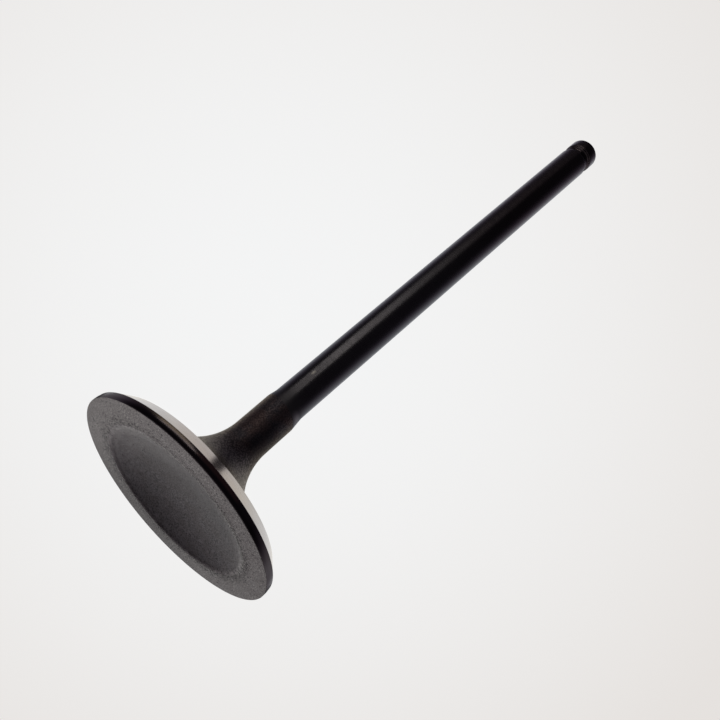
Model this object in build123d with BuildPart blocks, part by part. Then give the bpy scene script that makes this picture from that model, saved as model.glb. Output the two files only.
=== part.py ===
"""Engine valve: head, neck, stem and tip turned on one axis, as one solid.

Millimetres.  The axis is Z.  The flat rim of the face is z = 0 and the stem
points up, so the valve stands on its head.
"""

import os
from math import asin, cos, radians, sin, tan

from build123d import *

os.makedirs("parts", exist_ok=True)

# overall
head_dia = 34.1
stem_dia = 5.5
overall_length = 107.9

# face: a flat rim round a shallow dish, with a rounded lip between them
dish_dia = 26.0            # where the flat rim ends
dish_depth = 1.3
lip_radius = 6.0
face_edge_break = 0.12

# margin and seat
margin_height = 1.23       # face to the start of the seat
relief_height = 0.6        # the margin leans in a little above this
margin_relief = 0.08
seat_angle = 45.0          # from the plane of the face
seat_radial_width = 1.77

# neck: a shallow back face running into a long fillet, then a plain land
back_angle = 12.0          # from the plane of the face
neck_fillet = 11.4
land_dia = 6.04
land_end = 20.8            # height where the land gives way to the ground stem
ramp_length = 1.9

# tip: one round-bottomed keeper groove and a chamfered end
tip_land = 2.7             # plain length between the groove and the end
groove_width = 1.8
groove_depth = 0.45
tip_chamfer = 0.5

# radii and heights that follow
head_r = head_dia / 2
stem_r = stem_dia / 2
land_r = land_dia / 2
seat_outer_r = head_r - margin_relief
seat_inner_r = seat_outer_r - seat_radial_width
seat_inner_z = margin_height + seat_radial_width * tan(radians(seat_angle))

groove_z = overall_length - tip_land - groove_width / 2

# the dish is a cap of a sphere, and the rounded lip touches it on a tangent
lip_r = dish_dia / 2
sphere_r = (lip_r ** 2 + dish_depth ** 2) / (2 * dish_depth) - lip_radius
sphere_z = dish_depth - sphere_r
dish_edge_r = lip_r * sphere_r / (sphere_r + lip_radius)
dish_slope = asin(dish_edge_r / sphere_r)
half = dish_slope / 2

# the neck fillet touches the back face on one side and the land on the other
back = radians(back_angle)
fillet_r = land_r + neck_fillet
fillet_z = seat_inner_z + (neck_fillet - (fillet_r - seat_inner_r) * sin(back)) / cos(back)
bend = (radians(90) - back) / 2

# corners of the half section, as (radius, height)
dish_centre = (0, dish_depth)
dish_middle = (sphere_r * sin(half), sphere_z + sphere_r * cos(half))
dish_edge = (dish_edge_r, sphere_z + sphere_r * cos(dish_slope))
lip_middle = (lip_r - lip_radius * sin(half), lip_radius - lip_radius * cos(half))
rim_inner = (lip_r, 0)
rim_outer = (head_r - face_edge_break, 0)
margin_low = (head_r, face_edge_break)
margin_bend = (head_r, relief_height)
seat_bottom = (seat_outer_r, margin_height)
seat_top = (seat_inner_r, seat_inner_z)
fillet_start = (fillet_r - neck_fillet * sin(back), fillet_z - neck_fillet * cos(back))
fillet_middle = (fillet_r - neck_fillet * cos(bend), fillet_z - neck_fillet * sin(bend))
fillet_end = (land_r, fillet_z)
ramp_low = (land_r, land_end)
ramp_high = (stem_r, land_end + ramp_length)
groove_low = (stem_r, groove_z - groove_width / 2)
groove_root = (stem_r - groove_depth, groove_z)
groove_high = (stem_r, groove_z + groove_width / 2)
tip_low = (stem_r, overall_length - tip_chamfer)
tip_high = (stem_r - tip_chamfer, overall_length)
tip_centre = (0, overall_length)

with BuildPart() as valve:
    with BuildSketch(Plane.XZ):
        with BuildLine():
            ThreePointArc(dish_centre, dish_middle, dish_edge)
            ThreePointArc(dish_edge, lip_middle, rim_inner)
            Polyline(rim_inner, rim_outer, margin_low, margin_bend, seat_bottom)
            Polyline(seat_bottom, seat_top, fillet_start)
            ThreePointArc(fillet_start, fillet_middle, fillet_end)
            Polyline(fillet_end, ramp_low, ramp_high, groove_low)
            ThreePointArc(groove_low, groove_root, groove_high)
            Polyline(groove_high, tip_low, tip_high, tip_centre, dish_centre)
        make_face()
    revolve(axis=Axis.Z, revolution_arc=360)

valve.part.label = "valve"
export_step(valve.part, "parts/valve.step")
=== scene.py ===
# %% [markdown]
# # An engine valve
#
# An engine valve is one piece of steel: a round head with a shallow dish in
# its face, a ground seat round its edge, a neck that flares out of the stem,
# and a long stem with a groove near the tip for the keepers that hold its
# spring. A forge upsets the head on the end of a bar, a lathe turns the
# profile, and grinding wheels finish the seat and the stem.
#
# This lesson loads the plain solid as a frame, turns the same form again with
# fine rings, and gives each zone of the steel its own finish.

from math import asin, cos, pi, radians, sin
from types import SimpleNamespace

import bmesh
import bpy
from mathutils import Matrix, Vector


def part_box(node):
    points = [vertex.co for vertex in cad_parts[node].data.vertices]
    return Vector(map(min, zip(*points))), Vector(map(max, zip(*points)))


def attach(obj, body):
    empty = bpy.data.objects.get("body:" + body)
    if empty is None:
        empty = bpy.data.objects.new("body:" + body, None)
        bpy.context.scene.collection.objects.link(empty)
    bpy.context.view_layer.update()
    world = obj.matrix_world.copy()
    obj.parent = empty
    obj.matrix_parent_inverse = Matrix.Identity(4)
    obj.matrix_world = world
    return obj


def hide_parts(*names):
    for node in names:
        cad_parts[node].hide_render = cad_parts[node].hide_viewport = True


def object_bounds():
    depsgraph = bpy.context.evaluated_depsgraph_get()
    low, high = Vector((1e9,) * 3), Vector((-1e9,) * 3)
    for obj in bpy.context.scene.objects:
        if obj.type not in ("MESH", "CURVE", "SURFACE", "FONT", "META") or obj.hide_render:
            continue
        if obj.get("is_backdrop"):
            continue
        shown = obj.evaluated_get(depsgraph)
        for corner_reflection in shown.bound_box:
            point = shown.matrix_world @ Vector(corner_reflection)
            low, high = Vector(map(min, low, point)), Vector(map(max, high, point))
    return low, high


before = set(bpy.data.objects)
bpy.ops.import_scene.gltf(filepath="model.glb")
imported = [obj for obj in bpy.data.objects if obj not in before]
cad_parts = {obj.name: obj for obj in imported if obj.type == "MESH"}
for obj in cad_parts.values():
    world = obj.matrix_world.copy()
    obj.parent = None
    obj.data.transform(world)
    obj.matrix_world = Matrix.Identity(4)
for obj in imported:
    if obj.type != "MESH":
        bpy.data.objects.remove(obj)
cad_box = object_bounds()
low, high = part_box("valve")
print("nodes:", sorted(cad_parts), "box:", [round(v * 1000, 2) for v in (*low, *high)])

# %% [markdown]
# ## Sizes
#
# The valve stands on its head. The flat rim of the face is at height zero and
# the stem goes up. Everything is in metres, so a millimetre is a named unit.
# The length is read from the solid. The other sizes are what a drawing of the
# valve would give, and each is named once, so that a change reaches every
# place that depends on it.

# %% Sizes of the head
mm = 0.001
head_r = 17.05 * mm
rim_ring_r = 14.9 * mm
dish_rim_r = 13.05 * mm
dish_slope = radians(10)
lip_radius = 3.0 * mm
lip_slope = radians(17)
hollow_radius = 4.0 * mm
relief_z = 0.6 * mm
margin_top_r = 16.97 * mm
margin_top_z = 1.23 * mm
seat_top_r = 15.20 * mm
seat_top_z = margin_top_z + (margin_top_r - seat_top_r)
print("head", round(2 * head_r / mm, 2), "mm wide, seat ends", round(seat_top_z / mm, 2), "mm up")

# %% [markdown]
# The neck ends in a short plain land, left as forged, and the ground stem
# starts above it. The keeper groove is placed from the tip, as it is on the
# lathe, because the tip is what the spring's keepers are set out from.

# %% Sizes of the neck, stem and tip
length = high.z
back_slope = radians(12)
neck_fillet = 11.4 * mm
land_r = 3.02 * mm
land_top_z = 20.8 * mm
ramp_top_z = 22.7 * mm
stem_r = 2.75 * mm
groove_width = 1.8 * mm
groove_depth = 0.45 * mm
tip_land = 2.7 * mm
tip_chamfer = 0.5 * mm
groove_z = length - tip_land - groove_width / 2
print("length", round(length / mm, 2), "mm, groove at", round(groove_z / mm, 2), "mm")

# %% [markdown]
# ## Drawing the profile
#
# A turned part is half an outline spun round its axis. The outline could be a
# typed list of points, but a valve is drawn with arcs and straight cuts, so
# the pen below moves the same way: `straight` extrudes the last vertex to a
# new place, and `arc` spins it round a centre in the plane of the profile.

# %% A pen for profiles
profile = bmesh.new()


def straight(vertex, radius, height):
    """Extrude the pen's vertex in a straight cut to (radius, height)."""
    made = bmesh.ops.extrude_vert_indiv(profile, verts=[vertex])["verts"][0]
    made.co = (radius, 0, height)
    return made


def arc(vertex, radius, height, turn, steps):
    """Spin the pen's vertex by turn about a centre at (radius, height)."""
    made = bmesh.ops.spin(
        profile, geom=[vertex], cent=(radius, 0, height), axis=(0, 1, 0),
        angle=turn, steps=steps, use_merge=False, use_duplicate=False)
    return [part for part in made["geom_last"] if isinstance(part, bmesh.types.BMVert)][0]


print("pen ready:", straight.__name__, "and", arc.__name__)

# %% [markdown]
# The face comes first. The dish is a cap of a large sphere. The die pressed it
# a little deeper beside the rim, so the cap steepens in a tighter hollow, and a
# small rounded lip then turns it level. Each arc starts where the last one
# ends, with the same slope, so the centres follow from the rim inwards. One
# more ring half way across the flat rim keeps its faces from being too long.

# %% The face: dish, lip and flat rim
hollow_x = dish_rim_r - (lip_radius + hollow_radius) * sin(lip_slope)
hollow_z = lip_radius - (lip_radius + hollow_radius) * cos(lip_slope)
sphere_r = hollow_radius + hollow_x / sin(dish_slope)
sphere_z = hollow_z - (sphere_r - hollow_radius) * cos(dish_slope)
dish_depth = sphere_z + sphere_r
pen = bmesh.ops.create_vert(profile, co=(0, 0, dish_depth))["vert"][0]
pen = arc(pen, 0, sphere_z, dish_slope, 24)
pen = arc(pen, hollow_x, hollow_z, lip_slope - dish_slope, 4)
pen = arc(pen, dish_rim_r, lip_radius, -lip_slope, 6)
pen = straight(pen, rim_ring_r, 0)
pen = straight(pen, head_r, 0)
print("dish depth", round(dish_depth / mm, 2), "mm, cap radius", round(sphere_r / mm, 1), "mm")

# %% [markdown]
# The margin is the short cylinder between face and seat. Its upper half leans
# in by a few hundredths of a millimetre. The seat is a 45 degree cone, and
# the back of the head is a shallow cone that runs into the long neck fillet.
# The fillet touches the cone on one side and the land on the other, so its
# centre is worked out from the two.

# %% Margin, seat and neck
pen = straight(pen, head_r, relief_z)
pen = straight(pen, margin_top_r, margin_top_z)
pen = straight(pen, seat_top_r, seat_top_z)
fillet_r = land_r + neck_fillet
reach = (fillet_r - seat_top_r) * sin(back_slope)
fillet_z = seat_top_z + (neck_fillet - reach) / cos(back_slope)
pen = straight(pen, fillet_r - neck_fillet * sin(back_slope),
               fillet_z - neck_fillet * cos(back_slope))
pen = arc(pen, fillet_r, fillet_z, radians(90) - back_slope, 40)
print("neck land starts", round(fillet_z / mm, 2), "mm up")

# %% [markdown]
# The stem is ground thinner than the land above the neck, so a short ramp
# joins the two. Near the tip a round-bottomed groove takes the keepers. Its
# radius follows from its width and its depth.

# %% Stem, keeper groove and tip
pen = straight(pen, land_r, land_top_z)
pen = straight(pen, stem_r, ramp_top_z)
groove_r = (groove_width ** 2 / 4 + groove_depth ** 2) / (2 * groove_depth)
groove_turn = asin(groove_width / 2 / groove_r)
pen = straight(pen, stem_r, groove_z - groove_width / 2)
pen = arc(pen, stem_r - groove_depth + groove_r, groove_z, 2 * groove_turn, 12)
pen = straight(pen, stem_r, length - tip_chamfer)
pen = straight(pen, stem_r - tip_chamfer, length)
pen = straight(pen, 0, length)
print("profile:", len(profile.verts), "points")

# %% [markdown]
# ## Spinning the profile
#
# One full spin makes the solid. `use_merge` closes the last ring on the first.
# The points on the axis become many points in one place, so they are merged,
# and the normals are turned to face out.

# %% Spin it into a solid
around = 256
weld = 0.0005 * mm
bmesh.ops.spin(
    profile, geom=profile.verts[:] + profile.edges[:], cent=(0, 0, 0),
    axis=(0, 0, 1), angle=2 * pi, steps=around, use_merge=True,
    use_duplicate=False)
bmesh.ops.remove_doubles(profile, verts=profile.verts, dist=weld)
bmesh.ops.recalc_face_normals(profile, faces=profile.faces)
print("spun:", len(profile.faces), "faces, volume",
      round(profile.calc_volume() / mm ** 3), "cubic mm")

# %% [markdown]
# The stem and the seat are ground, but the neck between them is left as
# forged, and it never sits quite true with them. It leans a tenth or two of a
# millimetre to one side, most of all near the head. Where the ground stem cuts
# into it, the step then starts lower on the full side. Moving the finished
# rings is simpler than drawing a second, crooked profile.

# %% Let the forged neck lean
tolerance = 0.01 * mm
lean_low, lean_high = 0.19 * mm, 0.08 * mm
lean_grows = 3 * mm
lean_eases_z = 9 * mm
step_skew = 0.155
step_reach = 0.5 * mm
for vertex in profile.verts:
    height = vertex.co.z
    if not seat_top_z + tolerance < height < land_top_z + step_reach:
        continue
    grown = min(1, (height - seat_top_z) / lean_grows)
    along = max(0, (height - lean_eases_z) / (land_top_z - lean_eases_z))
    vertex.co.y += grown * (lean_low + (lean_high - lean_low) * along)
    if height > land_top_z - step_reach:
        vertex.co.z -= step_skew * vertex.co.y
print("the step runs out by", round(2 * step_skew * land_r / mm, 2), "mm")

# %% [markdown]
# The die that pressed the dish was not quite true either, so the dish sits a
# tenth of a millimetre off the centre of the ground edge.

# %% Let the dish sit off centre
dish_shift = 0.09 * mm
moved = 0
for vertex in profile.verts:
    inside_rim = vertex.co.xy.length < dish_rim_r + tolerance
    if inside_rim and vertex.co.z < dish_depth + tolerance:
        vertex.co.x += dish_shift
        vertex.co.y += dish_shift
        moved += 1
print("moved", moved, "points of the dish by", round(dish_shift / mm, 2), "mm each way")

# %% [markdown]
# ## Edges
#
# No ground edge is razor sharp. A bevel with a few segments along each ring
# catches a thin line of light, as the real edge does. `ring` finds the edges
# that lie on one circle of the profile, and `soften` bevels them.

# %% Soften the edges
def ring(radius, height, slack=0.02 * mm):
    """The edges on the circle at this radius and height."""
    def near(vertex):
        return (abs(vertex.co.xy.length - radius) < slack
                and abs(vertex.co.z - height) < slack)
    return [edge for edge in profile.edges if all(near(v) for v in edge.verts)]


def soften(radius, height, offset, segments):
    """Bevel one ring of edges."""
    edges = ring(radius, height)
    bmesh.ops.bevel(
        profile, geom=edges, offset=offset, offset_type="OFFSET",
        segments=segments, profile=0.5, affect="EDGES", material=-1,
        clamp_overlap=True)
    print("softened", len(edges), "edges at", round(height / mm, 2), "mm")


soften(head_r, 0, 0.07 * mm, 3)
soften(head_r, relief_z, 0.10 * mm, 3)
soften(margin_top_r, margin_top_z, 0.02 * mm, 2)
soften(seat_top_r, seat_top_z, 0.06 * mm, 2)
soften(stem_r, groove_z - groove_width / 2, 0.30 * mm, 5)
soften(stem_r, groove_z + groove_width / 2, 0.30 * mm, 5)
soften(stem_r, length - tip_chamfer, 0.08 * mm, 2)
soften(stem_r - tip_chamfer, length, 0.08 * mm, 2)

# %% [markdown]
# ## Zones of finish
#
# The steel is one piece, but each surface was left by another tool. The zones
# could be cut apart as separate objects, but then their edges would have to
# meet again. Instead every face gets the index of its finish from where it
# lies on the profile.

# %% Sort the faces into zones
zones = ["face", "margin", "seat", "neck", "stem", "tip_end"]
looks_down, looks_up = -0.8, 0.95
neck_top_z = land_top_z - 1.0 * mm


def zone_of(face):
    """The name of the finish on this face."""
    middle = face.calc_center_median()
    radius, height = middle.xy.length, middle.z
    if face.normal.z < looks_down and height < dish_depth + 0.1 * mm:
        return "face"
    if height < margin_top_z and radius > margin_top_r - 0.03 * mm:
        return "margin"
    if height < seat_top_z and radius > seat_top_r - 0.02 * mm:
        return "seat"
    if height < neck_top_z:
        return "neck"
    return "tip_end" if face.normal.z > looks_up else "stem"


counts = dict.fromkeys(zones, 0)
for face in profile.faces:
    name = zone_of(face)
    face.material_index = zones.index(name)
    face.smooth = True
    counts[name] += 1
print(counts)

# %% [markdown]
# The bmesh becomes a mesh, and the mesh an object that takes the solid's
# place. Smooth shading alone would bend the light over the narrow bevels into
# the flats beside them. A weighted normal lets the large faces decide, so the
# flats stay flat and only the bevels turn.

# %% Make the mesh
normal_weight = 90
mesh = bpy.data.meshes.new("valve_steel")
profile.to_mesh(mesh)
profile.free()
valve = bpy.data.objects.new("valve_steel", mesh)
bpy.context.scene.collection.objects.link(valve)
shading = valve.modifiers.new("even_shading", "WEIGHTED_NORMAL")
shading.weight = normal_weight
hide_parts("valve")
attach(valve, "root")
print("valve:", len(mesh.polygons), "faces")

# %% [markdown]
# ## Finishes
#
# Materials here are made of nodes that read Object coordinates, which are
# metres in the valve's own frame. `node` adds one node, sets its properties
# and fills its inputs, with a value or with another node's output. The helpers
# after it each stand for one kind of node that is used often.

# %% Helpers for nodes
def fill(made, inputs):
    """Give a node's inputs their values, or links from other nodes."""
    for name, source in inputs.items():
        if isinstance(source, bpy.types.NodeSocket):
            made.id_data.links.new(source, made.inputs[name])
        else:
            made.inputs[name].default_value = source


def node(tree, kind, inputs, **settings):
    """Add a shader node, set it up and fill its inputs."""
    made = tree.nodes.new("ShaderNode" + kind)
    for name, value in settings.items():
        setattr(made, name, value)
    fill(made, inputs)
    return made


def maths(tree, operation, *numbers):
    """One sum on one, two or three numbers."""
    return node(tree, "Math", dict(enumerate(numbers)), operation=operation).outputs[0]


def vector(tree, operation, *vectors):
    """One sum on one or two vectors."""
    made = node(tree, "VectorMath", dict(enumerate(vectors)), operation=operation)
    number = operation in ("DOT_PRODUCT", "LENGTH")
    return made.outputs["Value" if number else "Vector"]


def blend(tree, share, first, second):
    """Mix two colours by a share."""
    return node(tree, "Mix", {0: share, 6: first, 7: second}, data_type="RGBA").outputs[2]


def noise(tree, point, per_mm, detail=2.0, roughness=0.5):
    """Cloudy noise of so many lumps in a millimetre."""
    return node(tree, "TexNoise", {
        "Vector": point, "Scale": per_mm, "Detail": detail,
        "Roughness": roughness}).outputs["Fac"]


print("node helpers ready")

# %% [markdown]
# Most marks on a turned part lie in a ring or along a side, and fade out at
# their edges. `remap` carries a value from one range to another with soft
# ends, and the next three say where a mark is: in a band, close to a line, or
# in two such places at once. `coat` then lays a colour over another there.

# %% Helpers for where a mark lies
def remap(tree, value, low, high, to_low=0.0, to_high=1.0):
    """Carry a value from one range to another, with soft ends."""
    return node(tree, "MapRange", {
        "Value": value, "From Min": low, "From Max": high,
        "To Min": to_low, "To Max": to_high},
        interpolation_type="SMOOTHSTEP").outputs["Result"]


def both(tree, first, second):
    """Where two masks hold together."""
    return maths(tree, "MULTIPLY", first, second)


def band(tree, value, start, full, fade, end):
    """Rises from start to full, holds to fade and is gone by end."""
    return both(tree, remap(tree, value, start, full), remap(tree, value, end, fade))


def close_to(tree, value, middle, edge, core, to_low=0.0, to_high=1.0):
    """Full within core of a middle value, and gone by edge."""
    off = maths(tree, "ABSOLUTE", maths(tree, "SUBTRACT", value, middle))
    return remap(tree, off, edge, core, to_low, to_high)


def coat(tree, under, over, mask, strength=1.0):
    """Lay a colour over another where a mask says, at a strength."""
    if strength != 1.0:
        mask = maths(tree, "MULTIPLY", mask, strength)
    return blend(tree, mask, under, over)


print("mark helpers ready")

# %% [markdown]
# A material starts from one surface shader. `place` reads where a point of the
# surface is, in millimetres: across the valve, its radius and its height. The
# valve's +X side is called the near side here, and +Y the right.

# %% Helpers for materials
def new_material(name):
    """A material with one surface shader, joined to the output."""
    material = bpy.data.materials.new(name)
    material.use_nodes = True
    tree = material.node_tree
    tree.nodes.clear()
    shader = tree.nodes.new("ShaderNodeBsdfPrincipled")
    output = tree.nodes.new("ShaderNodeOutputMaterial")
    tree.links.new(shader.outputs["BSDF"], output.inputs["Surface"])
    return material, tree, shader


def place(tree):
    """Where a point of the surface is, in millimetres."""
    metres = node(tree, "TexCoord", {}).outputs["Object"]
    point = vector(tree, "MULTIPLY", metres, (1 / mm, 1 / mm, 1 / mm))
    axes = node(tree, "SeparateXYZ", {0: point}).outputs
    radius = vector(tree, "LENGTH", vector(tree, "MULTIPLY", point, (1, 1, 0)))
    return SimpleNamespace(
        point=point, x=axes["X"], y=axes["Y"], height=axes["Z"], radius=radius)


def relief(tree, shader, height, depth):
    """Press a height into the surface's normal; depth is in millimetres."""
    bump = node(tree, "Bump", {"Height": height, "Distance": depth * mm})
    tree.links.new(bump.outputs["Normal"], shader.inputs["Normal"])


def lay(material):
    """Give the valve this finish, as its next material."""
    valve.data.materials.append(material)
    print("finish", material.name, "has", len(material.node_tree.nodes), "nodes")


print("material helpers ready")

# %% [markdown]
# Some marks are on more than one zone, so each is a node group, built once and
# placed with its own values. The first is the skin that forging and blasting
# leave: a fine grain, under soft patches some ten times as large.

# %% Group: forged skin
def new_group(name, inputs, outputs):
    """A node group with named sockets, and its two end nodes."""
    tree = bpy.data.node_groups.new(name, "ShaderNodeTree")
    for label, value in inputs.items():
        kind = "NodeSocketVector" if isinstance(value, tuple) else "NodeSocketFloat"
        socket = tree.interface.new_socket(label, in_out="INPUT", socket_type=kind)
        socket.default_value = value
    for label in outputs:
        tree.interface.new_socket(label, in_out="OUTPUT", socket_type="NodeSocketFloat")
    return tree, tree.nodes.new("NodeGroupInput").outputs, tree.nodes.new("NodeGroupOutput")


def put(tree, group, **inputs):
    """Place a node group with its own values; returns its outputs."""
    made = tree.nodes.new("ShaderNodeGroup")
    made.node_tree = group
    fill(made, {name.replace("_", " "): source for name, source in inputs.items()})
    return made.outputs


skin, given, result = new_group(
    "forged_skin", {"Point": (0, 0, 0), "Grains per mm": 3.0}, ["Grain", "Patches"])
patch_size = maths(skin, "MULTIPLY", given["Grains per mm"], 0.12)
fine = noise(skin, given["Point"], given["Grains per mm"], 3.0, 0.6)
wide = noise(skin, given["Point"], patch_size, 3.0)
fill(result, {"Grain": remap(skin, fine, 0.34, 0.66), "Patches": remap(skin, wide, 0.38, 0.62)})
print("group", skin.name, "has", len(skin.nodes), "nodes")

# %% [markdown]
# Pits are where scale came off. Each cell of a Voronoi pattern may hold one
# pit: the cell's own random colour says whether it does, and how wide it is.

# %% Group: pits
pits, given, result = new_group(
    "pits", {"Point": (0, 0, 0), "Per mm": 2.0, "Share": 0.2, "Width": 0.4}, ["Pit"])
cells = node(pits, "TexVoronoi", {"Vector": given["Point"], "Scale": given["Per mm"]})
chance = node(pits, "SeparateColor", {0: cells.outputs["Color"]}).outputs
there = maths(pits, "LESS_THAN", chance["Red"], given["Share"])
pit_r = maths(pits, "MULTIPLY", given["Width"], remap(pits, chance["Green"], 0, 1, 0.5, 1.0))
fall = maths(pits, "DIVIDE", cells.outputs["Distance"], pit_r)
fill(result, {"Pit": both(pits, there, remap(pits, fall, 1.0, 0.3))})
print("group", pits.name, "has", len(pits.nodes), "nodes")

# %% [markdown]
# A tool that cuts a turning part leaves lines that run round it. Noise in four
# dimensions gives them with no seam: radius and height change fast, and the
# direction round the axis, as a cosine and a sine, changes slowly.

# %% Group: turned lines
lines, given, result = new_group(
    "turned_lines", {"Point": (0, 0, 0), "Per mm": 8.0, "Breaks": 3.0}, ["Line"])
flat = vector(lines, "MULTIPLY", given["Point"], (1, 1, 0))
facing = node(lines, "SeparateXYZ", {0: vector(lines, "NORMALIZE", flat)}).outputs
out = vector(lines, "LENGTH", flat)
up = node(lines, "SeparateXYZ", {0: given["Point"]}).outputs["Z"]
where = node(lines, "CombineXYZ", {
    "X": maths(lines, "MULTIPLY", out, given["Per mm"]),
    "Y": maths(lines, "MULTIPLY", up, given["Per mm"]),
    "Z": maths(lines, "MULTIPLY", facing["X"], given["Breaks"])}).outputs["Vector"]
streak = node(lines, "TexNoise", {
    "Vector": where, "W": maths(lines, "MULTIPLY", facing["Y"], given["Breaks"]),
    "Scale": 1.0, "Detail": 3.0, "Roughness": 0.6}, noise_dimensions="4D").outputs["Fac"]
fill(result, {"Line": remap(lines, streak, 0.3, 0.7)})
print("group", lines.name, "has", len(lines.nodes), "nodes")

# %% [markdown]
# This group paints a bright band along an edge, a painted highlight, stronger
# in some places than in others. It takes the distance from the edge and breaks
# the band up with a coarse noise.

# %% Group: painted highlight along an edge
glint_group, given, result = new_group(
    # The band it gives is a painted highlight.
    "edge_glint", {"Point": (0, 0, 0), "Distance": 0.0, "Width": 0.3}, ["Glint"])
near = maths(glint_group, "DIVIDE", maths(glint_group, "ABSOLUTE", given["Distance"]), given["Width"])
broken = remap(glint_group, noise(glint_group, given["Point"], 1.1, 4.0, 0.6), 0.35, 0.65)
fill(result, {"Glint": both(glint_group, remap(glint_group, near, 1.0, 0.2), broken)})
print("group", glint_group.name, "has", len(glint_group.nodes), "nodes")

# %% [markdown]
# ### The face
#
# The face was forged and blasted, and oxide greyed it. The rim is a little
# lighter and browner than the dish, and the two run into each other over the
# lip. The skin's grain blends a dark and a light steel, and a coarser grain
# and the soft patches take the evenness out of it.

# %% Face: blasted skin
material, tree, shader = new_material("face")
spot = place(tree)
marks = put(tree, skin, Point=spot.point, Grains_per_mm=4.2)
mottle = put(tree, skin, Point=spot.point, Grains_per_mm=1.4)["Grain"]
inside = remap(tree, spot.radius, 13.0, 11.6)
rim_dark, dish_dark = (0.094, 0.086, 0.080, 1), (0.058, 0.053, 0.052, 1)
rim_light, dish_light = (0.410, 0.383, 0.354, 1), (0.288, 0.269, 0.265, 1)
blotch, brown_patch = (0.110, 0.100, 0.096, 1), (0.128, 0.109, 0.100, 1)
dark = blend(tree, inside, rim_dark, dish_dark)
light = blend(tree, inside, rim_light, dish_light)
tone = blend(tree, marks["Grain"], dark, light)
tone = coat(tree, tone, blotch, mottle, 0.30)
tone = coat(tree, tone, brown_patch, marks["Patches"], 0.34)
print("face: rim light", rim_light[:3], "dish light", dish_light[:3])

# %% [markdown]
# Light and shade are painted into the face's tone here. One side is painted
# paler, the rim is painted paler towards its outer edge, most of all on the
# right, a painted highlight runs along the lip, broken up in places, and the
# shoulder where the dish steepens gets a painted highlight too, except on the
# far side. All of these lift the tone towards one pale steel, so they are added
# up first. The far edge of the rim gets painted shade.

# %% Face: painted light and shade
painted_light_steel, painted_far_shade = (0.62, 0.575, 0.55, 1), (0.05, 0.046, 0.045, 1)
# Painted light: paler side, paler outer rim, highlights on the lip and shoulder; painted shade on
# the far edge.
toward_pale = vector(tree, "DOT_PRODUCT", spot.point, (0.5, -0.87, 0))
pale_from = remap(tree, spot.radius, 12.8, 13.8, -3.0, 1.5)
painted_pale_side = both(tree, remap(tree, toward_pale, pale_from, 10.5), remap(tree, spot.radius, 5.0, 10.0))
painted_pale_rim = both(tree, remap(tree, spot.radius, 12.9, 14.4),
             remap(tree, spot.y, -4.0, 9.0, 0.060, 0.135))
from_lip = maths(tree, "SUBTRACT", spot.radius, 12.4)
painted_light_band = put(tree, glint_group, Point=spot.point, Distance=from_lip, Width=0.5)["Glint"]
toward_near = vector(tree, "DOT_PRODUCT", spot.point, (0.85, -0.53, 0))
shoulder_highlight = both(tree, close_to(tree, spot.radius, middle=11.65, edge=0.9, core=0.2),
                remap(tree, toward_near, -7.0, -2.0))
painted_lift = maths(tree, "MULTIPLY_ADD", painted_pale_side, 0.17, painted_pale_rim)
painted_lift = maths(tree, "MULTIPLY_ADD", painted_light_band, 0.30, painted_lift)
painted_lift = maths(tree, "MULTIPLY_ADD", shoulder_highlight, remap(tree, spot.y, 0.0, -9.0, 0.08, 0.13), painted_lift)
tone = coat(tree, tone, painted_light_steel, painted_lift)
tone = coat(tree, tone, painted_far_shade, remap(tree, spot.x, -11.0, -15.0), 0.28)
print("face: lifted towards", painted_light_steel[:3])

# %% [markdown]
# The die wears most where it turns over the lip, so that is where most of the
# pits are. Two sizes of pit are laid, and both the colour and the relief take
# them. The metal's Specular Tint is below one, because an oxide skin doesn't
# turn white at a glancing angle as bare polished steel does.

# %% Face: pits, shader and relief
pit_dark = (0.036, 0.031, 0.032, 1)
pitted = close_to(tree, spot.radius, middle=13.3, edge=1.3, core=0.1, to_low=0.07, to_high=0.9)
large = put(tree, pits, Point=spot.point, Per_mm=1.7, Share=pitted, Width=0.34)["Pit"]
small = put(tree, pits, Point=spot.point, Per_mm=3.5, Share=pitted, Width=0.75)["Pit"]
holes = maths(tree, "MAXIMUM", large, small)
tone = coat(tree, tone, pit_dark, holes, 0.85)
fill(shader, {"Base Color": tone, "Metallic": 1.0,
              "Roughness": remap(tree, inside, 0, 1, 0.27, 0.33),
              "Specular Tint": (0.48, 0.48, 0.48, 1)})
pressed = maths(tree, "SUBTRACT", marks["Grain"], maths(tree, "MULTIPLY", holes, 1.6))
relief(tree, shader, pressed, 0.007)
lay(material)

# %% [markdown]
# ### The margin
#
# The margin was turned and then blackened with the rest. Painted shade makes
# it darkest beside the face. Its upper half took some colour: a red-brown in
# the middle, and straw on the left, partly heat tint from the seat's grinding
# wheel and partly a painted highlight.

# %% Margin: blackened, heat tint, painted shade and highlight
material, tree, shader = new_material("margin")
spot = place(tree)
marks = put(tree, lines, Point=spot.point, Per_mm=7.0, Breaks=5.0)["Line"]
black_low, black_high = (0.044, 0.037, 0.039, 1), (0.054, 0.046, 0.048, 1)
margin_shade_black, brown, straw_and_highlight = (0.012, 0.009, 0.010, 1), (0.130, 0.078, 0.068, 1), (0.112, 0.090, 0.070, 1)
tone = blend(tree, marks, black_low, black_high)
# Painted shade: darker beside the face.
tone = blend(tree, remap(tree, spot.height, 0.7, 0.4, 0, 0.35), tone, margin_shade_black)
browned = both(tree, close_to(tree, spot.y, middle=1.2, edge=4.2, core=2.8),
               remap(tree, spot.height, 0.5, 0.85))
# The straw band is partly heat tint and partly a painted highlight.
heat_tint_and_highlight = both(tree, band(tree, spot.y, start=-13.5, full=-9.0, fade=-5.8, end=-2.4),
              remap(tree, spot.height, 0.65, 1.15))
tone = coat(tree, tone, brown, browned)
tone = coat(tree, tone, straw_and_highlight, heat_tint_and_highlight)
print("margin: soot", margin_shade_black[:3], "brown", brown[:3], "straw_and_highlight", straw_and_highlight[:3])
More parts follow.
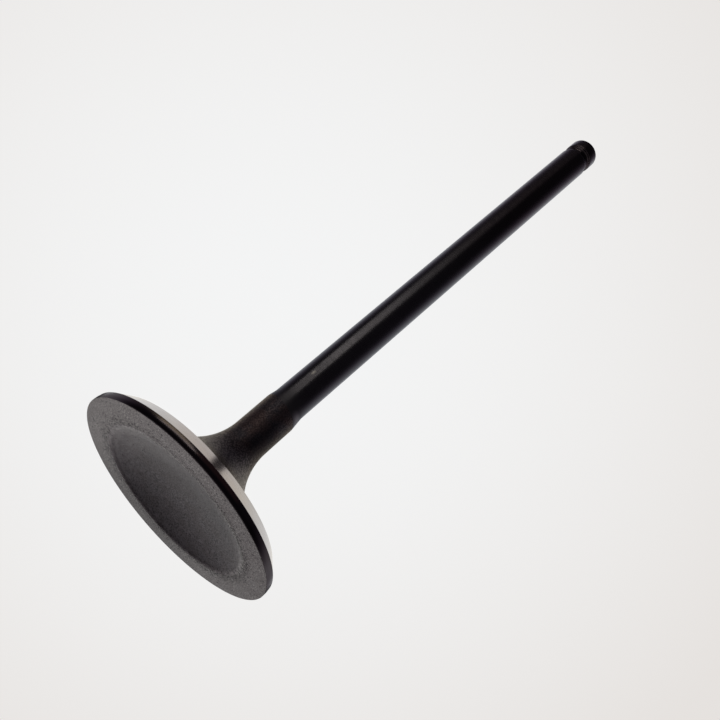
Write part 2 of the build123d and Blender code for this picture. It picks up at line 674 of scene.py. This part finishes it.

# %% [markdown]
# Towards its two sides the margin gets a painted reflection, a little greyer,
# and one stretch on the right and the outermost ends get painted shade. The
# skin is also duller at those ends and under the straw band, so the roughness
# follows the same masks.

# %% Margin: painted reflection and shade, shader and relief
margin_reflection_grey = (0.115, 0.106, 0.110, 1)
wide = maths(tree, "ABSOLUTE", spot.y)
# Painted shade on one stretch on the right and at the outermost ends; painted reflection greys
# the sides.
margin_shade_ends = maths(tree, "MAXIMUM", band(tree, spot.y, start=6.5, full=8.5, fade=10.4, end=12.0),
              remap(tree, wide, 15.9, 16.5))
painted_light_band = band(tree, wide, start=11.8, full=14.2, fade=15.4, end=16.3)
tone = coat(tree, tone, margin_reflection_grey, painted_light_band, 0.45)
tone = coat(tree, tone, margin_shade_black, margin_shade_ends, 0.55)
dull = maths(tree, "MULTIPLY_ADD", heat_tint_and_highlight, 0.14, remap(tree, wide, 15.4, 16.7, 0.0, 0.42))
fill(shader, {"Base Color": tone, "Metallic": 1.0,
              "Roughness": maths(tree, "ADD", dull, remap(tree, marks, 0, 1, 0.20, 0.16)),
              "Specular Tint": (0.50, 0.49, 0.50, 1)})
relief(tree, shader, marks, 0.001)
lay(material)

# %% [markdown]
# ### The seat
#
# The seat was ground last of all, so it is the only bare bright steel on the
# head. The wheel leaves fine lines round it, heat has stained it a pale straw
# on the near and the far side, and a few specks of scale are left in it.

# %% Seat
material, tree, shader = new_material("seat")
spot = place(tree)
marks = put(tree, lines, Point=spot.point, Per_mm=9.0, Breaks=9.0)["Line"]
steel_low, steel_high = (0.350, 0.320, 0.292, 1), (0.446, 0.410, 0.376, 1)
stain, scale = (0.425, 0.366, 0.296, 1), (0.14, 0.12, 0.10, 1)
stained = both(tree, close_to(tree, spot.y, middle=0, edge=9.5, core=3.5),
               remap(tree, spot.height, 3.0, 1.6, 0.6, 1.0))
specks = put(tree, pits, Point=spot.point, Per_mm=2.6, Share=0.10, Width=0.35)["Pit"]
tone = blend(tree, marks, steel_low, steel_high)
tone = coat(tree, tone, stain, stained, 0.8)
tone = coat(tree, tone, scale, specks, 0.45)
fill(shader, {"Base Color": tone, "Metallic": 1.0,
              "Roughness": remap(tree, marks, 0, 1, 0.20, 0.15)})
relief(tree, shader, marks, 0.001)
lay(material)

# %% [markdown]
# ### The neck
#
# The neck keeps the skin of the forging: a dark oxide with a rough grain. Near
# the seat, where the heat was greatest, it is a warm grey, then a cooler grey,
# and from half way up it is nearly black, with rust-brown clouds. Each tone
# takes over from the last at some height. The two flanks of the flare get a
# painted reflection, paler than its middle.

# %% Neck: tones from seat to step
material, tree, shader = new_material("neck")
spot = place(tree)
marks = put(tree, skin, Point=spot.point, Grains_per_mm=4.0)
warm_low, warm_high = (0.082, 0.071, 0.061, 1), (0.102, 0.089, 0.077, 1)
cool_grey, near_black = (0.087, 0.084, 0.088, 1), (0.040, 0.038, 0.046, 1)
rust, flank_reflection_grey = (0.065, 0.045, 0.045, 1), (0.170, 0.160, 0.158, 1)
rusted = both(tree, remap(tree, spot.height, 8.5, 12.5),
              remap(tree, noise(tree, spot.point, 0.35, 3.0), 0.35, 0.6))
# Painted reflection: the flanks of the flare are painted paler.
flare_band = band(tree, spot.height, start=5.5, full=7.0, fade=8.5, end=10.2)
reflection_flanks = maths(tree, "MULTIPLY_ADD", remap(tree, spot.y, 2.2, 4.2), 0.25,
               remap(tree, maths(tree, "ABSOLUTE", spot.y), 1.5, 3.5, 0.0, 0.20))
tone = blend(tree, marks["Patches"], warm_low, warm_high)
tone = coat(tree, tone, cool_grey, remap(tree, spot.height, 6.0, 8.0))
tone = coat(tree, tone, near_black, remap(tree, spot.height, 8.0, 11.0))
tone = coat(tree, tone, rust, rusted)
tone = coat(tree, tone, flank_reflection_grey, both(tree, flare_band, reflection_flanks))
print("neck: from", warm_low[:3], "at the seat to", near_black[:3], "at the step")

# %% [markdown]
# The grain shows as light tops and dark hollows. It is roughest where the neck
# flares, so a second, stronger pair of specks is laid there.

# %% Neck: grain
hollow_dark, top_light = (0.012, 0.010, 0.010, 1), (0.090, 0.071, 0.066, 1)
speck_light, speck_dark = (0.150, 0.138, 0.134, 1), (0.020, 0.019, 0.020, 1)
grain = marks["Grain"]
rough = band(tree, spot.height, start=6.0, full=8.0, fade=10.5, end=13.0)
tone = coat(tree, tone, hollow_dark, remap(tree, grain, 0, 1, 0.5, 0))
tone = coat(tree, tone, top_light, remap(tree, grain, 0.3, 1, 0, 0.4))
tone = coat(tree, tone, speck_light, both(tree, remap(tree, grain, 0.45, 1.0), rough), 0.5)
tone = coat(tree, tone, speck_dark, both(tree, remap(tree, grain, 0.55, 0.0), rough), 0.5)
print("neck: specks between", speck_dark[:3], "and", speck_light[:3])

# %% [markdown]
# Painted shade darkens one side below the step, and pits are scattered all
# over. That side is also a little duller than the rest.

# %% Neck: painted shade, pits, shader and relief
pit_black, neck_shade_blue = (0.008, 0.007, 0.007, 1), (0.007, 0.009, 0.012, 1)
holes = put(tree, pits, Point=spot.point, Per_mm=1.6, Share=0.12, Width=0.4)["Pit"]
# Painted shade on one side below the step.
neck_shade_side = both(tree, band(tree, spot.height, start=10.0, full=13.0, fade=16.0, end=19.0),
             remap(tree, spot.y, -0.1, 1.1))
dull = both(tree, remap(tree, spot.height, 8.0, 13.0), remap(tree, spot.y, 0.4, 2.4))
tone = coat(tree, tone, pit_black, holes, 0.6)
tone = coat(tree, tone, neck_shade_blue, neck_shade_side, 0.6)
fill(shader, {"Base Color": tone, "Metallic": 1.0,
              "Roughness": maths(tree, "MULTIPLY_ADD", dull, 0.08,
                                 remap(tree, grain, 0, 1, 0.46, 0.38)),
              "Specular Tint": (0.90, 0.85, 0.76, 1)})
relief(tree, shader, maths(tree, "SUBTRACT", grain, holes), 0.012)
lay(material)

# %% [markdown]
# ### The stem
#
# The stem is ground, polished and given a black nitrided skin, which keeps it
# from picking up in its guide. The skin is slightly cloudy and turns a little
# brown towards the tip.

# %% Stem: nitrided skin
material, tree, shader = new_material("stem")
spot = place(tree)
marks = put(tree, lines, Point=spot.point, Per_mm=3.0, Breaks=4.0)["Line"]
cloud_low, cloud_high = (0.045, 0.0425, 0.046, 1), (0.059, 0.056, 0.060, 1)
brown_black = (0.053, 0.042, 0.044, 1)
tone = blend(tree, noise(tree, spot.point, 0.25, 3.0), cloud_low, cloud_high)
tone = coat(tree, tone, brown_black, remap(tree, spot.height, 50, 90))
print("stem: from", cloud_low[:3], "to", cloud_high[:3])

# %% [markdown]
# The wheel leaves the first few millimetres duller and darker. The corner of
# the ramp gets a painted reflection, grey on the right, and there is one bright
# nick a little above it: a small ellipsoid, made by stretching the distance
# from its middle.

# %% Stem: dull start, painted reflection at the corner, nick
start_dark, corner_reflection_grey = (0.020, 0.017, 0.018, 1), (0.150, 0.140, 0.144, 1)
nick_bright = (0.17, 0.16, 0.145, 1)
nick_place, nick_stretch = (2.45, -1.19, 28.1), (3.6, 3.6, 1.5)
started = remap(tree, spot.height, 25.0, 21.0)
# Painted reflection: the ramp's corner is painted grey on the right.
corner_reflection = both(tree, close_to(tree, spot.height, middle=21.3, edge=0.95, core=0.15),
              remap(tree, spot.y, 0.9, 2.0))
away = vector(tree, "SUBTRACT", spot.point, nick_place)
away = vector(tree, "LENGTH", vector(tree, "MULTIPLY", away, nick_stretch))
tone = coat(tree, tone, start_dark, started, 0.3)
tone = coat(tree, tone, corner_reflection_grey, corner_reflection, 0.6)
tone = coat(tree, tone, nick_bright, remap(tree, away, 1.0, 0.3, 0, 0.7))
print("stem: nick at", nick_place, "mm")

# %% [markdown]
# Painted shade darkens one side of the upper stem, most of all in the keeper
# groove.

# %% Stem: painted shade, shader and relief
stem_shade_black = (0.006, 0.005, 0.006, 1)
# Painted shade on one side of the upper stem and in the groove.
shaded_side = band(tree, spot.y, start=-0.9, full=-0.3, fade=0.9, end=1.6)
groove_shade = close_to(tree, spot.height, middle=104.4, edge=1.2, core=0.7)
groove_shade = maths(tree, "MULTIPLY", groove_shade, 0.75)
painted_shade_share = maths(tree, "MAXIMUM", groove_shade, remap(tree, spot.height, 50, 80, 0, 0.5))
tone = coat(tree, tone, stem_shade_black, both(tree, shaded_side, painted_shade_share))
fill(shader, {"Base Color": tone, "Metallic": 1.0,
              "Roughness": maths(tree, "MULTIPLY_ADD", started, 0.15,
                                 remap(tree, marks, 0, 1, 0.290, 0.250)),
              "Specular Tint": (0.78, 0.79, 0.82, 1)})
relief(tree, shader, marks, 0.0008)
lay(material)

# %% [markdown]
# ### The tip's end
#
# The end of the tip is pushed on thousands of times a minute, so it is
# hardened and ground back to bare steel. It has the same turned lines as the
# seat, only wider.

# %% Tip end
material, tree, shader = new_material("tip_end")
spot = place(tree)
marks = put(tree, lines, Point=spot.point, Per_mm=6.0, Breaks=2.0)["Line"]
steel_low, steel_high = (0.30, 0.29, 0.28, 1), (0.42, 0.41, 0.40, 1)
fill(shader, {"Base Color": blend(tree, marks, steel_low, steel_high), "Metallic": 1.0,
              "Roughness": remap(tree, marks, 0, 1, 0.36, 0.28)})
relief(tree, shader, marks, 0.002)
lay(material)

# %% [markdown]
# ## The stage
#
# The valve stands on a plain pale floor, a hair under the face. Only the camera
# sees the floor: light from below still reaches the face, and metal sees a
# floor that is part of the world. One large grid of a single face is enough.

# %% Floor
floor_drop = 0.1 * mm
floor_reach = 1.6
floor_mesh = bpy.data.meshes.new("floor")
slab = bmesh.new()
bmesh.ops.create_grid(slab, x_segments=1, y_segments=1, size=floor_reach)
bmesh.ops.translate(slab, verts=slab.verts, vec=(0, 0, -floor_drop))
slab.to_mesh(floor_mesh)
slab.free()
floor = bpy.data.objects.new("floor", floor_mesh)
bpy.context.scene.collection.objects.link(floor)
floor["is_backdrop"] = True
for ray in ("diffuse", "glossy", "transmission", "shadow", "volume_scatter"):
    setattr(floor, "visible_" + ray, False)
print("floor reaches", round(max(v.co.x for v in floor_mesh.vertices), 2), "m to each side")

# %% [markdown]
# The paint is see-through from below, so the dish can be looked at from under
# the floor, and it fades out with distance, so that the floor meets the
# backdrop with no hard line. It has a little glow of its own, which makes up
# for the light that a real room would send back onto it.

# %% Floor paint
fade_start, fade_end = 300.0, 1500.0
paint, tree, shader = new_material("floor_paint")
fill(shader, {"Base Color": (0.84, 0.83, 0.82, 1), "Roughness": 0.9,
              "Specular IOR Level": 0.0,
              "Emission Color": (0.9, 0.89, 0.88, 1), "Emission Strength": 0.18})
far = remap(tree, place(tree).radius, fade_start, fade_end)
from_below = node(tree, "NewGeometry", {}).outputs["Backfacing"]
gone = maths(tree, "MAXIMUM", far, from_below)
clear = node(tree, "BsdfTransparent", {}).outputs["BSDF"]
either = node(tree, "MixShader", {0: gone, 1: shader.outputs["BSDF"], 2: clear})
fill(tree.nodes["Material Output"], {"Surface": either.outputs["Shader"]})
floor_mesh.materials.append(paint)
print("floor fades from", fade_start, "to", fade_end, "mm")

# %% [markdown]
# A pale backdrop stands behind the valve, and the room in front of it is dim.
# The camera sees the backdrop in every direction, and it greys a little away
# from its middle. A world can't be moved like a card on a stand, but a ray's
# direction can be compared with a fixed one: `along` gives one where they
# agree, and less the further they part.

# %% World: the backdrop
world = bpy.data.worlds.new("studio")
bpy.context.scene.world = world
world.use_nodes = True
tree = world.node_tree
tree.nodes.clear()
toward = node(tree, "TexCoord", {}).outputs["Generated"]


def along(direction):
    """How far a ray goes along a direction."""
    return vector(tree, "DOT_PRODUCT", toward, direction)


backdrop_middle = (-0.8532, -0.0853, 0.5145)
backdrop_spread = 0.2
middle_white, edge_grey = (0.902, 0.906, 0.908, 1), (0.789, 0.760, 0.737, 1)
away = maths(tree, "SUBTRACT", 1.0, along(backdrop_middle))
falloff = maths(tree, "MINIMUM", maths(tree, "MULTIPLY", away, 1 / backdrop_spread), 1.0)
backdrop = blend(tree, falloff, middle_white, edge_grey)
print("backdrop:", middle_white[:3], "in the middle", edge_grey[:3], "at the edge")

# %% [markdown]
# Dark polished steel shows little but what it reflects, so the contrast of a
# pale backdrop and a dim room is what makes the stem read as round. Metal and
# glass see the backdrop only where it stands: to one side of the valve, above
# the table's edge. Below the horizon, in front, they see the pale floor.

# %% World: what metal reflects
backdrop_side, table_edge = (-0.9743, 0.2064, 0.0905), (0, -0.1415, 0.9899)
warm_way = (-0.87, 0.0, 0.49)
side_power = 4.22
card_strength, room_strength, floor_strength = 0.931, 0.044, 0.75
beside = maths(tree, "POWER", remap(tree, along(backdrop_side), -0.736, 0.570), side_power)
above = remap(tree, along(table_edge), -0.508, -0.30)
card = both(tree, beside, above)
backed = maths(tree, "MULTIPLY_ADD", card, card_strength, room_strength)
floored = both(tree, remap(tree, along((0, 0, -1)), -0.10, 0.14),
               remap(tree, along((-1, 0, 0)), 0.45, 0.05))
warmed = remap(tree, along(warm_way), 0.94, 0.998)
dim_room, lit_card = (0.88, 0.72, 1.02, 1), (0.97, 0.985, 1.0, 1)
warm_card, floor_white = (1.04, 0.985, 0.90, 1), (0.98, 0.97, 0.96, 1)
room = blend(tree, backed, dim_room, lit_card)
room = coat(tree, room, warm_card, warmed)
room = coat(tree, room, floor_white, floored)
strength = maths(tree, "MULTIPLY_ADD", floored, floor_strength, backed)
print("room:", dim_room[:3], "to", lit_card[:3])

# %% [markdown]
# Light Path tells which kind of ray is asking. The camera gets the plain
# backdrop, metal and glass get the room, and everything matt gets one soft,
# even light.

# %% World: three answers
ray = node(tree, "LightPath", {}).outputs
shiny = maths(tree, "MAXIMUM", ray["Is Glossy Ray"], ray["Is Transmission Ray"])
soft = node(tree, "Background", {"Color": (1, 0.99, 0.98, 1), "Strength": 0.45})
mirrored = node(tree, "Background", {"Color": room, "Strength": strength})
plain = node(tree, "Background", {"Color": backdrop, "Strength": 1.0})
lit = node(tree, "MixShader", {0: shiny, 1: soft.outputs[0], 2: mirrored.outputs[0]})
shown = node(tree, "MixShader", {0: ray["Is Camera Ray"], 1: lit.outputs[0],
                                 2: plain.outputs[0]})
node(tree, "OutputWorld", {"Surface": shown.outputs[0]})
print("world", world.name, "has", len(tree.nodes), "nodes")

# %% [markdown]
# One soft box above, on the near left, gives the steel its highlight. A
# polished rod draws what it mirrors out into a line along itself. The box is
# wide, so the line on the stem is broad, and low, so the line fades towards
# the tip. The second lamp is hidden from glossy rays. It is there for what is
# matt, and gives the floor the valve's soft shadow.

# %% Soft boxes
lamp_warm = (1.0, 0.965, 0.90)


def soft_box(name, azimuth, elevation, distance, width, height, radiance):
    """An area lamp of one even radiance that faces the middle of the valve."""
    lamp = bpy.data.lights.new(name, "AREA")
    lamp.shape = "RECTANGLE"
    lamp.size, lamp.size_y = width, height
    lamp.energy = radiance * pi * width * height
    lamp.color = lamp_warm
    way = Vector((cos(azimuth) * cos(elevation), sin(azimuth) * cos(elevation), sin(elevation)))
    aim = Vector((0, 0, length / 2))
    box = bpy.data.objects.new(name, lamp)
    box.matrix_world = (Matrix.Translation(aim + way * distance)
                        @ way.to_track_quat("Z", "Y").to_matrix().to_4x4())
    bpy.context.scene.collection.objects.link(box)
    print("lamp", name, "gives", round(lamp.energy, 2), "W")
    return box


soft_box("overhead", azimuth=radians(-46.5), elevation=radians(33.8), distance=1.5,
         width=1.10, height=0.166, radiance=3.3)
shade = soft_box("shade", azimuth=radians(150), elevation=radians(58), distance=1.2,
                 width=0.16, height=0.16, radiance=32.0)
shade.visible_glossy = False

# %% [markdown]
# ## The camera
#
# The camera stands a little below the head and looks up the stem. Its axes are
# given as three directions, because the view is rolled as well as tilted. The
# lens is shifted, which slides the frame and leaves the perspective alone: the
# valve then lies where it should in the frame, with the lens aimed past it.

# %% Camera
frame_px, sensor_mm = 720, 36
focal_px = 796.77
shift_px = (63.28, 80.91)
stand = Vector((102.490, 0, -31.763)) * mm
right = Vector((0.3670085, 0.6480626, 0.6673228))
down = Vector((-0.2643244, 0.7604664, -0.5931471))
forward = Vector((-0.8918730, 0.0413003, 0.4503963))
lens = bpy.data.cameras.new("camera")
lens.sensor_width = sensor_mm
lens.lens = sensor_mm * focal_px / frame_px
lens.shift_x, lens.shift_y = shift_px[0] / frame_px, shift_px[1] / frame_px
lens.clip_start = 0.005
lens.clip_end = 20
camera = bpy.data.objects.new("camera", lens)
bpy.context.scene.collection.objects.link(camera)
turn = Matrix((right, -down, -forward)).transposed()
camera.matrix_world = Matrix.Translation(stand) @ turn.to_4x4()
bpy.context.scene.camera = camera
bpy.context.scene.view_settings.view_transform = "Standard"
print("lens", round(lens.lens, 1), "mm, shift", round(lens.shift_x, 3), round(lens.shift_y, 3))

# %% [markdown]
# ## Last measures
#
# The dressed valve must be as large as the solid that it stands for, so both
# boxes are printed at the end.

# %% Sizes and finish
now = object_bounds()
flat = lambda box: [list(map(float, corner_reflection)) for corner_reflection in box]
{"cad": flat(cad_box), "visual": flat(now)}
print("cad box", flat(cad_box), "visual box", flat(now))
